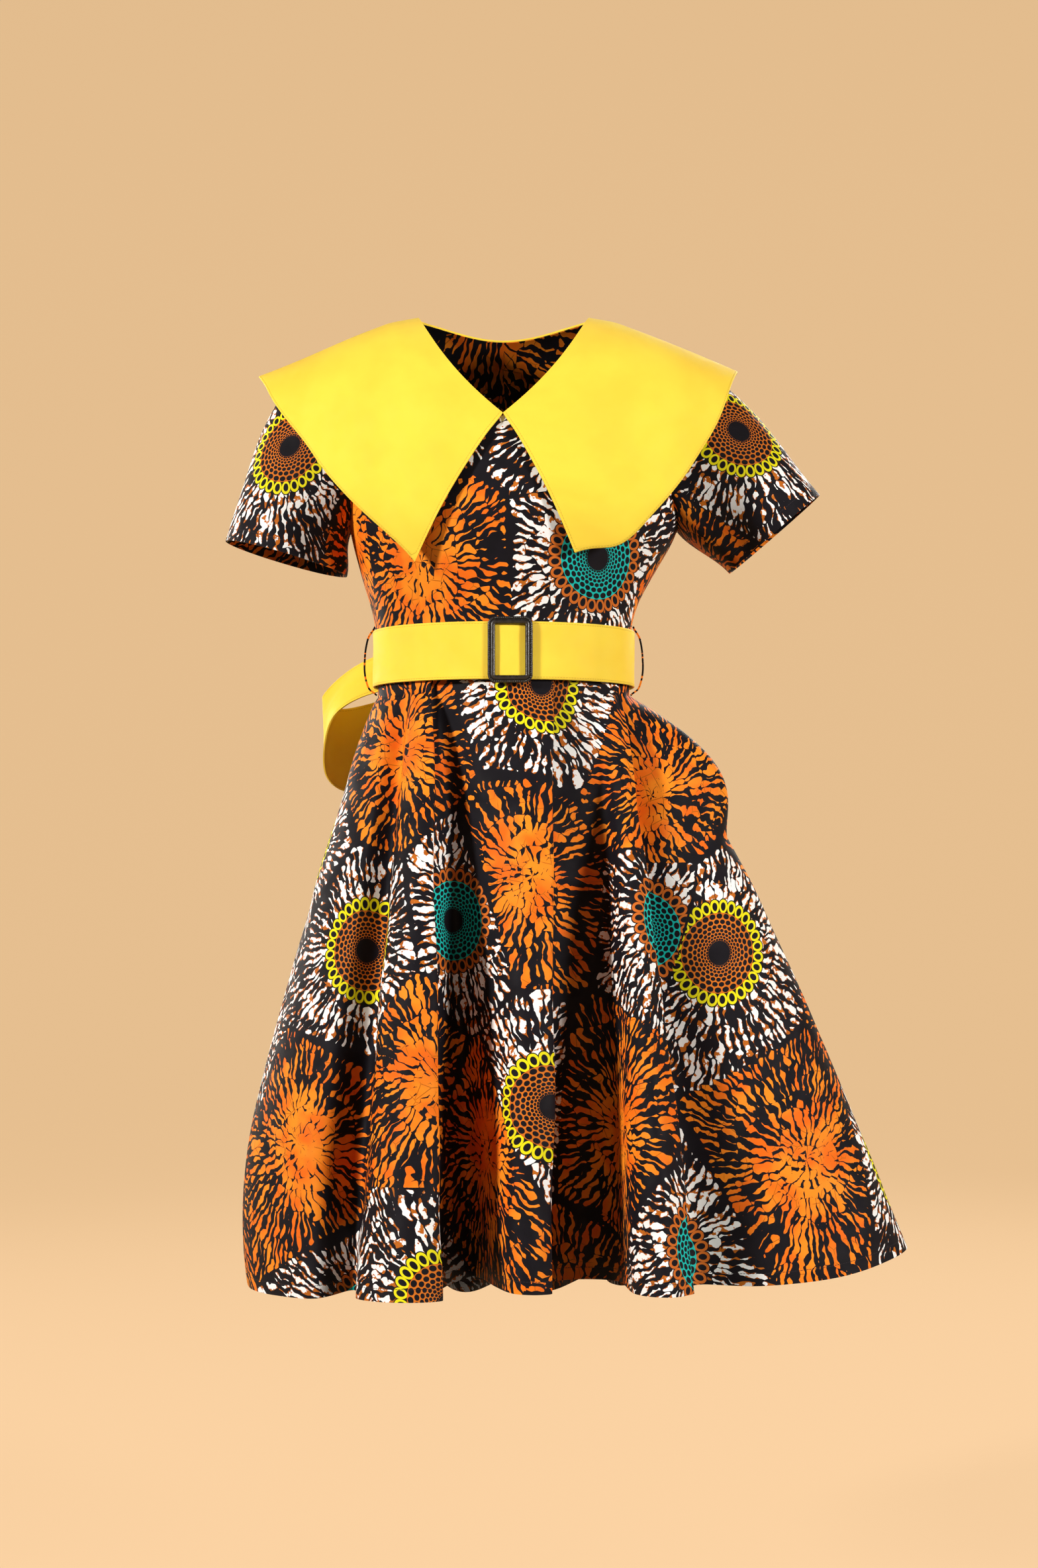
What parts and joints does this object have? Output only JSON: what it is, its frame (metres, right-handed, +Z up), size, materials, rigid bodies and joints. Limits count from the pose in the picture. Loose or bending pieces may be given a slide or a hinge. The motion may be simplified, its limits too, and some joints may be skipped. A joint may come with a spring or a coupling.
{
  "type": "wax print dress",
  "caption": "Short-sleeved wax print dress with a wide pointed cape collar, buckled belt, back bow and full flared skirt, hollow as worn.",
  "frame": {"origin": "midway between the neck ends of the two shoulder seams, where a pair of shoulders holds the dress up", "axes": "+Z up, -Y out of the front of the dress, +X towards the wearer's left"},
  "size_m": [0.6991, 0.4982, 1.0504],
  "materials": {
    "wax_print_cotton": "wax printed plain-weave cotton, faint sheen",
    "yellow_cotton": "plain dyed cotton, matte",
    "black_resin": "black resin, half gloss"
  },
  "bodies": {
    "root": {"bodice_front": "wax_print_cotton", "bodice_side_right": "wax_print_cotton", "bodice_side_left": "wax_print_cotton", "bodice_back_right": "wax_print_cotton", "bodice_back_left": "wax_print_cotton", "sleeve_right": "wax_print_cotton", "sleeve_left": "wax_print_cotton", "collar_right": "yellow_cotton", "collar_left": "yellow_cotton", "skirt_front": "wax_print_cotton", "skirt_back": "wax_print_cotton", "pocket_bag_left": "wax_print_cotton", "belt": "yellow_cotton", "buckle": "black_resin", "belt_carrier_right": "wax_print_cotton", "belt_carrier_left": "wax_print_cotton", "tie_knot": "yellow_cotton", "tie_loop_right": "yellow_cotton", "tie_loop_left": "yellow_cotton", "tie_tail_right": "yellow_cotton", "tie_tail_left": "yellow_cotton"}
  },
  "joints": []
}
